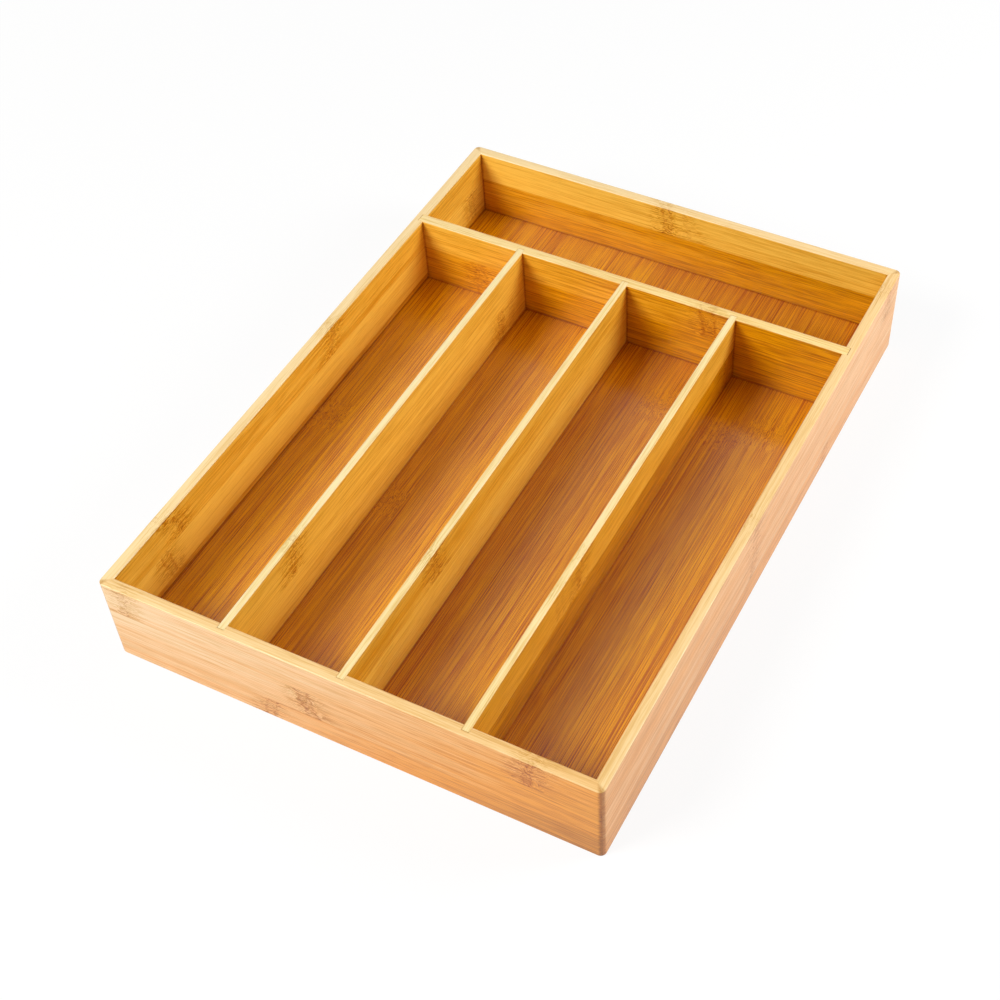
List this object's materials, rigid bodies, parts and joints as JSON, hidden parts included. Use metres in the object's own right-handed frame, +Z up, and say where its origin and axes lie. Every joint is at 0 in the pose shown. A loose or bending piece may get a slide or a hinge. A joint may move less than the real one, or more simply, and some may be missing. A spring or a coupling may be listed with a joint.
{
  "type": "drawer organizer",
  "caption": "Shallow bamboo cutlery tray for a kitchen drawer: long bays side by side and a cross bay behind them, mitred frame, housed dividers and a grooved-in floor.",
  "frame": {"origin": "centre of the footprint, at the level of the surface that the tray stands on", "axes": "+X along the front board to the right, +Y towards the cross bay at the back, +Z up out of the open bays"},
  "size_m": [0.254, 0.3556, 0.0508],
  "materials": {
    "frame_bamboo": "clear satin lacquer on light bamboo",
    "divider_bamboo": "clear satin lacquer on light bamboo",
    "base_bamboo": "clear satin lacquer on steamed, darker bamboo"
  },
  "bodies": {
    "root": {"back_board_strip_1": "frame_bamboo", "back_board_strip_2": "frame_bamboo", "back_board_strip_3": "frame_bamboo", "base_strip_01": "base_bamboo", "base_strip_02": "base_bamboo", "base_strip_03": "base_bamboo", "base_strip_04": "base_bamboo", "base_strip_05": "base_bamboo", "base_strip_06": "base_bamboo", "base_strip_07": "base_bamboo", "base_strip_08": "base_bamboo", "base_strip_09": "base_bamboo", "base_strip_10": "base_bamboo", "base_strip_11": "base_bamboo", "base_strip_12": "base_bamboo", "base_strip_13": "base_bamboo", "cross_divider_strip_1": "divider_bamboo", "cross_divider_strip_2": "divider_bamboo", "front_board_strip_1": "frame_bamboo", "front_board_strip_2": "frame_bamboo", "front_board_strip_3": "frame_bamboo", "left_board_strip_1": "frame_bamboo", "left_board_strip_2": "frame_bamboo", "left_board_strip_3": "frame_bamboo", "left_divider_strip_1": "divider_bamboo", "left_divider_strip_2": "divider_bamboo", "middle_divider_strip_1": "divider_bamboo", "middle_divider_strip_2": "divider_bamboo", "right_board_strip_1": "frame_bamboo", "right_board_strip_2": "frame_bamboo", "right_board_strip_3": "frame_bamboo", "right_divider_strip_1": "divider_bamboo", "right_divider_strip_2": "divider_bamboo"}
  },
  "joints": []
}
